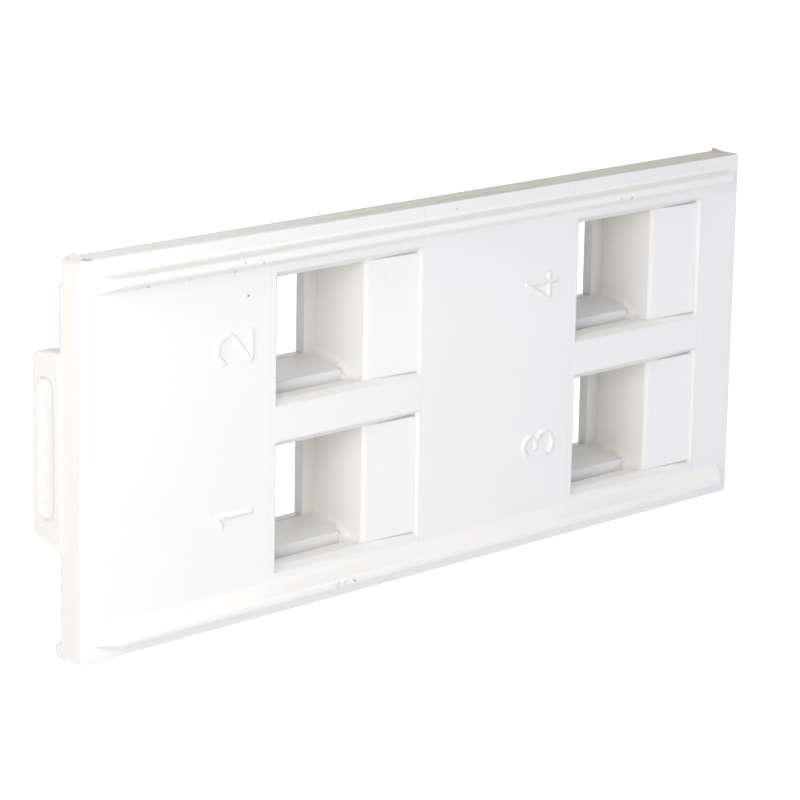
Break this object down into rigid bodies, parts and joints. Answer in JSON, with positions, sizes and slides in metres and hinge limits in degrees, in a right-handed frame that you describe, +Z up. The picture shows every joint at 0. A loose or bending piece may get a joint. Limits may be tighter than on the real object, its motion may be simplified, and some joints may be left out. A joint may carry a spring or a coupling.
{
  "type": "keystone faceplate",
  "caption": "Long rectangular moulded faceplate with recessed square apertures for snap-in keystone jacks, sloped snap rails on its long sides and snap ears behind its short ends.",
  "frame": {"origin": "centre of the rear seating face, the plane of the rim's back, on both centre lines of the plate", "axes": "+X to the right along the long side, +Y to the rear through the wall or module frame, +Z up as the plate stands in the picture"},
  "size_m": [0.1156, 0.0137, 0.0475],
  "materials": {
    "white_abs": "white injection-moulded ABS, satin to light gloss, fine even surface"
  },
  "bodies": {
    "root": {"faceplate": "white_abs"}
  },
  "joints": []
}
